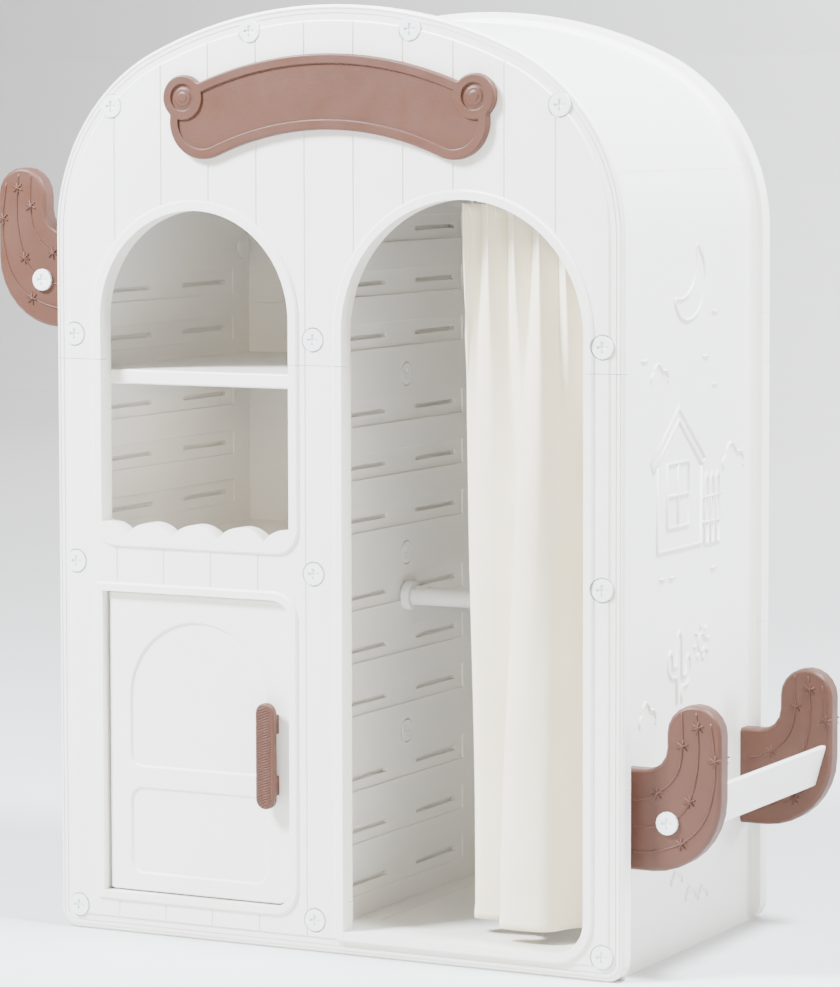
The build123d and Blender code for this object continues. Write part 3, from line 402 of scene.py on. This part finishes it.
def cloud(left, right, low, high):
    w, h = right - left, high - low
    return [(left + w * u, low + h * v) for u, v in CLOUD_SHAPE]


def side_paths():
    """Each line of the drawing and whether it closes; the first ones are curves."""
    sun = [ray_point(SUN, SUN_RADIUS, 2 * math.pi * i / 12) for i in range(12)]
    curves = [(MOON, True)] + [(cloud(*box), False) for box in CLOUDS] + [(sun, True)]
    paths = [(smooth_line(points, 4, closed), closed) for points, closed in curves]
    paths += [([(y - DASH_HALF, z), (y + DASH_HALF, z)], False) for y, z in DASHES]
    paths += [(line, False) for line in ROOF_AND_WALLS]
    paths.append((HOUSE_WINDOW, True))
    paths += [(line, False) for line in WINDOW_BARS]
    for y in FENCE_POSTS:
        paths.append(([(y - 6, 541), (y - 6, 627), (y, 635), (y + 6, 627), (y + 6, 541)], True))
    paths += [([(286, z), (352, z)], False) for z in FENCE_RAILS]
    paths.append((CACTUS, False))
    for i in range(SUN_RAYS):
        a = math.radians(360 / SUN_RAYS * i + 10)
        paths.append(([ray_point(SUN, r, a) for r in SUN_RAY_ENDS], False))
    return paths


def add_side_relief(side, word):
    mesh = bmesh.new()
    for points, closed in side_paths():
        path = [(side * SIDE, FRONT + p[0] / 1000, p[1] / 1000) for p in points]
        add_ridge(mesh, path, (side, 0, 0), SIDE_LINE, closed)
    add_piece(mesh, "side_relief_" + word, "white_plastic", "carcass")


# Raised lines and six-pointed marks on the brackets: (across, height), in millimetres
ARM_LINES = [
    [(421, 234), (438, 237), (456, 246), (474, 260), (486, 280), (490, 308), (490, 330), (489, 351)],
    [(421, 199), (446, 201), (472, 208), (492, 224), (504, 248), (511, 282), (512, 315), (509, 352)],
    [(421, 166), (450, 169), (480, 178), (505, 194), (524, 220), (534, 258), (535, 295), (529, 340)],
]
ARM_MARKS = [(454, 244), (490, 308), (500, 237), (511, 333), (488, 181), (535, 291)]
ARM_MARK_REACH = 8.5


def add_arm_lines(name, side, lift, face_y, facing):
    mesh = bmesh.new()

    def place(p):
        return (side * p[0] / 1000, face_y, p[1] / 1000 + lift)

    for line in ARM_LINES:
        add_ridge(mesh, [place(p) for p in smooth_line(line, 5)], (0, facing, 0), ARM_LINE)
    for centre in ARM_MARKS:
        for i in range(3):
            a = math.radians(60 * i + 20)
            ends = [ray_point(centre, r, a) for r in (-ARM_MARK_REACH, ARM_MARK_REACH)]
            add_ridge(mesh, [place(p) for p in ends], (0, facing, 0), ARM_MARK)
    add_piece(mesh, name, "brown_plastic", "carcass")


# Ribbed face of the handle's bar, in metres
HANDLE_X = -0.092
HANDLE_Y = -0.263
HANDLE_LOW = 0.190
HANDLE_HIGH = 0.333
HANDLE_HALF = 0.0105
HANDLE_END = 0.014
HANDLE_RIB_PITCH = 0.0036
HANDLE_RIB_SLOPE = 0.35


def add_handle_ribs():
    """Slanting ribs across the handle's bar, cut off at its rounded outline."""
    mesh = bmesh.new()

    def inside(x, z):
        near = min(max(z, HANDLE_LOW + HANDLE_END), HANDLE_HIGH - HANDLE_END)
        return math.hypot(x - HANDLE_X, z - near) <= HANDLE_HALF

    z = HANDLE_LOW
    while z < HANDLE_HIGH:
        steps = [i * HANDLE_HALF / 10 for i in range(21)]
        track = [(HANDLE_X - HANDLE_HALF + s, z + HANDLE_RIB_SLOPE * s) for s in steps]
        kept = [p for p in track if inside(*p)]
        if len(kept) > 5:
            ends = [(px, HANDLE_Y, pz) for px, pz in (kept[0], kept[-1])]
            add_ridge(mesh, ends, (0, -1, 0), HANDLE_RIB)
        z += HANDLE_RIB_PITCH
    add_piece(mesh, "handle_ribs", "brown_plastic", "door_leaf")


# Curtain: folds in plan below the header and at the foot, in millimetres (across, behind the front face)
FOLDS_MIDDLE = [
    (159, 96), (157, 86), (166, 80), (188, 76), (212, 78), (232, 80), (246, 76), (254, 66), (258, 54),
    (268, 44), (284, 38), (298, 40), (306, 54), (310, 74), (318, 92), (334, 96), (348, 84), (358, 66),
    (366, 52), (374, 58),
]
FOLDS_FOOT = [
    (174, 98), (171, 88), (180, 81), (204, 82), (230, 86), (250, 84), (261, 72), (252, 56), (236, 46),
    (232, 38), (248, 33), (272, 33), (294, 37), (306, 50), (314, 70), (326, 86), (342, 84), (354, 66),
    (364, 50), (373, 56),
]
HEADER_LEFT = 173.0
HEADER_RIGHT = 371.0
HEADER_Y = 60
HEADER_LEAN = 2.2
CLOTH_COLUMNS = 200
CLOTH_ROWS = 130
ROW_CROWDING = 1.25
GATHER_REACH = 0.42
DRIFT = 2.0

# The cloth's half thickness, what a hem adds to it, and the hems' widths, in metres
CLOTH_HALF = 0.0006
HEM_RISE = 0.0015
HEAD_HEM = 0.013
FOOT_HEM = 0.014
SIDE_HEM = 0.009


def even_points(points, count):
    """Points at even distances along a smooth line through points."""
    line = smooth_line(points, 10)
    reach = [0.0]
    for a, b in zip(line, line[1:]):
        reach.append(reach[-1] + (b - a).length)
    even, j = [], 0
    for i in range(count):
        target = reach[-1] * i / (count - 1)
        while j < len(line) - 2 and reach[j + 1] < target:
            j += 1
        span = reach[j + 1] - reach[j]
        even.append(line[j].lerp(line[j + 1], (target - reach[j]) / span if span else 0))
    return even, reach[-1]


def header_points(depth):
    """The gathered top edge: one pleat between two hooks, passing under each hook."""
    points = []
    for i in range(CLOTH_COLUMNS):
        u = i / (CLOTH_COLUMNS - 1)
        x = HEADER_LEFT + (HEADER_RIGHT - HEADER_LEFT) * u
        turn = 2 * math.pi * (x - 1000 * RING_FIRST) / (1000 * RING_STEP)
        points.append(Vector((x + HEADER_LEAN * math.sin(2 * turn), HEADER_Y + depth * math.sin(turn))))
    return points


def line_length(points):
    return sum((b - a).length for a, b in zip(points, points[1:]))


def header_of_length(length):
    """The header whose pleats are as deep as a line of that length needs."""
    low, high = 2.0, 24.0
    for _ in range(30):
        depth = (low + high) / 2
        low, high = (depth, high) if line_length(header_points(depth)) < length else (low, depth)
    return header_points(depth)


def drop_share(j):
    """How far down the cloth a row lies, from 0 at the header to 1 at the foot."""
    return (j / CLOTH_ROWS) ** ROW_CROWDING


def cloth_rows(header, middle, foot):
    """The middle of the cloth, row by row: the header's pleats open into the folds below."""
    rows = []
    for j in range(CLOTH_ROWS + 1):
        v = drop_share(j)
        ease = min(1.0, v / GATHER_REACH)
        gather = 1 - (3 * ease * ease - 2 * ease ** 3)
        fall = v * v * (3 - 2 * v)
        row = []
        for i in range(CLOTH_COLUMNS):
            p = middle[i].lerp(foot[i], fall).lerp(header[i], gather)
            drift = DRIFT * math.sin(9 * v + 5 * i / CLOTH_COLUMNS) * math.sin(math.pi * v)
            row.append(Vector((p.x / 1000, FRONT + (p.y + drift) / 1000, CURTAIN_TOP - CURTAIN_HEIGHT * v)))
        rows.append(row)
    return rows


def half_thickness(i, j, width):
    v = drop_share(j)
    from_edge = min(i, CLOTH_COLUMNS - 1 - i) / (CLOTH_COLUMNS - 1) * width
    hemmed = CURTAIN_HEIGHT * (1 - v) < FOOT_HEM or CURTAIN_HEIGHT * v < HEAD_HEM or from_edge < SIDE_HEM
    return CLOTH_HALF + HEM_RISE if hemmed else CLOTH_HALF


def cloth_layer(mesh, centre, sign, width):
    """One face of the cloth, set off from its middle by half its thickness."""
    last_row, last_column = CLOTH_ROWS, CLOTH_COLUMNS - 1
    layer = []
    for j in range(last_row + 1):
        row = []
        for i in range(last_column + 1):
            along = centre[j][min(i + 1, last_column)] - centre[j][max(i - 1, 0)]
            fall = centre[min(j + 1, last_row)][i] - centre[max(j - 1, 0)][i]
            normal = along.cross(fall).normalized()
            row.append(mesh.verts.new(centre[j][i] + normal * sign * half_thickness(i, j, width)))
        layer.append(row)
    return layer


def join_layers(mesh, front, back):
    down, last = CLOTH_ROWS, CLOTH_COLUMNS - 1
    for j in range(down):
        for i in range(last):
            mesh.faces.new((front[j][i], front[j][i + 1], front[j + 1][i + 1], front[j + 1][i]))
            mesh.faces.new((back[j][i], back[j + 1][i], back[j + 1][i + 1], back[j][i + 1]))
    for i in range(last):
        mesh.faces.new((front[0][i], back[0][i], back[0][i + 1], front[0][i + 1]))
        mesh.faces.new((front[down][i], front[down][i + 1], back[down][i + 1], back[down][i]))
    for j in range(down):
        mesh.faces.new((front[j][0], front[j + 1][0], back[j + 1][0], back[j][0]))
        mesh.faces.new((front[j][-1], back[j][-1], back[j + 1][-1], front[j + 1][-1]))


def lay_flat(mesh, layers, flat, width):
    """Each corner's place on the flat cloth, in metres."""
    places = {}
    for layer in layers:
        for j, row in enumerate(layer):
            for i, vert in enumerate(row):
                places[vert] = (width * i / (CLOTH_COLUMNS - 1), CURTAIN_HEIGHT * (1 - drop_share(j)))
    for face in mesh.faces:
        for loop in face.loops:
            loop[flat].uv = places[loop.vert]


def add_curtain():
    middle, length = even_points(FOLDS_MIDDLE, CLOTH_COLUMNS)
    foot, _ = even_points(FOLDS_FOOT, CLOTH_COLUMNS)
    centre = cloth_rows(header_of_length(length), middle, foot)
    width = length / 1000
    mesh = bmesh.new()
    flat = mesh.loops.layers.uv.new("cloth")
    layers = [cloth_layer(mesh, centre, sign, width) for sign in (1, -1)]
    join_layers(mesh, *layers)
    lay_flat(mesh, layers, flat, width)
    cloth = add_piece(mesh, "curtain_cloth_piece", "curtain_cloth", None)
    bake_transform(cloth)
    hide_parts("curtain")


# Hooks: behind the rod's line and height, in metres, from the ring's stem through the header
HOOK_PATH = [
    (0.0022, 1.0035), (0.004, 0.998), (0.0035, 0.991), (-0.001, 0.987), (-0.005, 0.990), (-0.0055, 0.996),
]
HOOK_RADIUS = 0.0011
HOOK_SIDES = 10


def ring_body(i):
    if i == 0:
        return "curtain_free_edge"
    return "carcass" if i == RINGS - 1 else "ring_%d" % (i + 1)


def add_hook(i):
    x = RING_FIRST + RING_STEP * i
    mesh = bmesh.new()
    path = smooth_line([(x, TRACK_Y + y, z) for y, z in HOOK_PATH], 5)
    turns = [2 * math.pi * m / HOOK_SIDES for m in range(HOOK_SIDES)]
    rows = []
    for k, p in enumerate(path):
        along = (path[min(k + 1, len(path) - 1)] - path[max(k - 1, 0)]).normalized()
        side = Vector((1, 0, 0))
        up = along.cross(side).normalized()
        ring = [side * math.cos(a) + up * math.sin(a) for a in turns]
        rows.append([mesh.verts.new(p + q * HOOK_RADIUS) for q in ring])
    for a, b in zip(rows, rows[1:]):
        for m in range(HOOK_SIDES):
            n = (m + 1) % HOOK_SIDES
            mesh.faces.new((a[m], a[n], b[n], b[m]))
    mesh.faces.new(rows[0])
    mesh.faces.new(rows[-1])
    add_piece(mesh, "curtain_hook_%d" % (i + 1), "rod_plastic", ring_body(i))


# Looks of the CAD nodes: merged, softly rounded at their sharp edges, and finished by slot

SHARP_ANGLE = 38
WELD_DISTANCE = 2e-5
FLAT_ANGLE = 0.4
BEVEL_ANGLE = 28
BEVELS = {"brown_plastic": 0.0014, "white_plastic": 0.0011}
SMALL_BEVEL = 0.0006
SMALL_NODES = ("screws", "ring_", "hinge", "collars")


def edge_smoother():
    """A modifier tree that shades smooth everywhere but at sharp edges."""
    group = bpy.data.node_groups.new("smooth_by_angle", "GeometryNodeTree")
    group.interface.new_socket("Geometry", in_out="INPUT", socket_type="NodeSocketGeometry")
    group.interface.new_socket("Geometry", in_out="OUTPUT", socket_type="NodeSocketGeometry")
    source = group.nodes.new("NodeGroupInput")
    target = group.nodes.new("NodeGroupOutput")
    angle = group.nodes.new("GeometryNodeInputMeshEdgeAngle")
    compare = group.nodes.new("FunctionNodeCompare")
    compare.operation = "GREATER_THAN"
    compare.inputs["B"].default_value = math.radians(SHARP_ANGLE)
    group.links.new(angle.outputs["Unsigned Angle"], compare.inputs["A"])
    store = group.nodes.new("GeometryNodeStoreNamedAttribute")
    store.data_type = "BOOLEAN"
    store.domain = "EDGE"
    store.inputs["Name"].default_value = "sharp_edge"
    group.links.new(compare.outputs["Result"], store.inputs["Value"])
    shade = group.nodes.new("GeometryNodeSetShadeSmooth")
    group.links.new(source.outputs[0], shade.inputs["Geometry"])
    group.links.new(shade.outputs["Geometry"], store.inputs["Geometry"])
    group.links.new(store.outputs["Geometry"], target.inputs[0])
    return group


def finish_frame():
    group = edge_smoother()
    slots = {p["node"]: p["material_slot"] for p in frame["record"]["subparts"]}
    for name, node in frame["nodes"].items():
        slot = slots[name]
        node.data.materials.clear()
        node.data.materials.append(MATERIALS[slot])
        if name == "curtain":
            continue
        weld = node.modifiers.new("merge", "WELD")
        weld.merge_threshold = WELD_DISTANCE
        flat = node.modifiers.new("flats", "DECIMATE")
        flat.decimate_type = "DISSOLVE"
        flat.angle_limit = math.radians(FLAT_ANGLE)
        small = any(word in name for word in SMALL_NODES)
        bevel = node.modifiers.new("edges", "BEVEL")
        bevel.limit_method = "ANGLE"
        bevel.angle_limit = math.radians(BEVEL_ANGLE)
        bevel.width = SMALL_BEVEL if small else BEVELS.get(slot, SMALL_BEVEL)
        bevel.segments = 2
        bevel.use_clamp_overlap = True
        smooth = node.modifiers.new("smooth", "NODES")
        smooth.node_group = group
        weight = node.modifiers.new("shading", "WEIGHTED_NORMAL")
        weight.keep_sharp = True


add_camera()
add_lights()
add_stage()
finish_frame()
add_curtain()
for ring in range(RINGS):
    add_hook(ring)
for side, word, lift in ((1, "right", 0), (-1, "left", RACK_LIFT)):
    add_side_relief(side, word)
    add_arm_lines("arm_lines_front_" + word, side, lift, RACK_FRONT, -1)
    add_arm_lines("arm_lines_front_rear_" + word, side, lift, RACK_FRONT + ARM_THICKNESS, 1)
    add_arm_lines("arm_lines_back_" + word, side, lift, RACK_BACK - ARM_THICKNESS, -1)
    add_arm_lines("arm_lines_back_rear_" + word, side, lift, RACK_BACK, 1)
add_handle_ribs()
